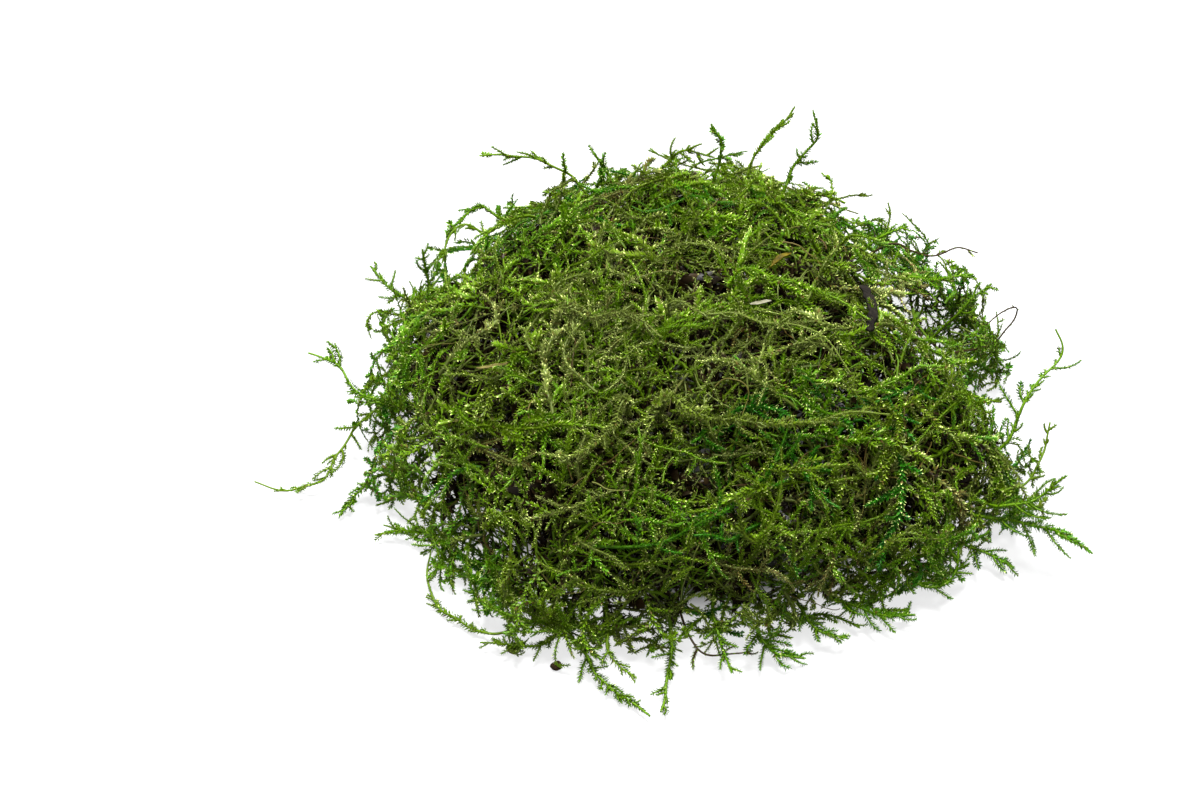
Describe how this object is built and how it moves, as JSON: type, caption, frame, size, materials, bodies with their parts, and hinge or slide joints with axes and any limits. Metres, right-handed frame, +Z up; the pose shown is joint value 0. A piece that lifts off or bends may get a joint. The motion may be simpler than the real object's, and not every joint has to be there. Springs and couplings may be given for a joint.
{
  "type": "moss clump",
  "caption": "Loose clump of feather moss: a springy mat of interlocked leafy shoots with stray shoots and caught bark and leaf bits, resting on its flat underside.",
  "frame": {"origin": "middle of the mat's flat underside, where the clump rests on the table", "axes": "+Z up, +X to the right along the clump's longest way across, -Y towards the viewer of its front"},
  "size_m": [0.16, 0.1316, 0.048],
  "materials": {
    "moss_tangle": "matt, softly glossy leaves",
    "fresh_shoots": "softly glossy leaves",
    "olive_shoots": "softly glossy leaves",
    "bare_stems": "matt",
    "bark": "rough",
    "yellow_leaf": "satin",
    "husk": "matt",
    "straw": "satin",
    "litter": "rough"
  },
  "bodies": {
    "root": {"arch_rear_left": "olive_shoots", "arch_right": "fresh_shoots", "bark_strip": "bark", "blade_left_rear": "fresh_shoots", "curl_rear_left": "fresh_shoots", "fan_front_right": "fresh_shoots", "fan_rear": "fresh_shoots", "grass_end": "straw", "hook_front_left": "fresh_shoots", "litter_crumb_left": "litter", "litter_crumb_right": "litter", "loop_front_left": "olive_shoots", "loop_rear_left": "olive_shoots", "loop_right_bare": "bare_stems", "loop_right_leafy": "olive_shoots", "moss_mat": "moss_tangle", "pair_front_right": "fresh_shoots", "pale_flake": "husk", "plume_right_lower": "fresh_shoots", "plume_right_upper": "fresh_shoots", "prong_right_rear": "fresh_shoots", "runner_front_right": "fresh_shoots", "runner_right_rear": "fresh_shoots", "shoot_front_middle": "fresh_shoots", "shoot_front_right": "fresh_shoots", "shoot_left_long": "olive_shoots", "shoot_left_low": "fresh_shoots", "shoot_left_rear": "fresh_shoots", "shoot_left_spike": "olive_shoots", "shoot_left_upper": "fresh_shoots", "sprig_rear": "fresh_shoots", "sprig_rear_left": "fresh_shoots", "sprig_rear_middle": "fresh_shoots", "sprig_rear_right": "fresh_shoots", "stem_front_rim": "bare_stems", "straggler_front": "fresh_shoots", "straggler_front_upper": "olive_shoots", "tip_front_right": "fresh_shoots", "tip_right_rear": "fresh_shoots", "tips_right_low": "fresh_shoots", "wavy_right_rear": "bare_stems", "whip_right": "olive_shoots", "yellow_leaf": "yellow_leaf"}
  },
  "joints": []
}
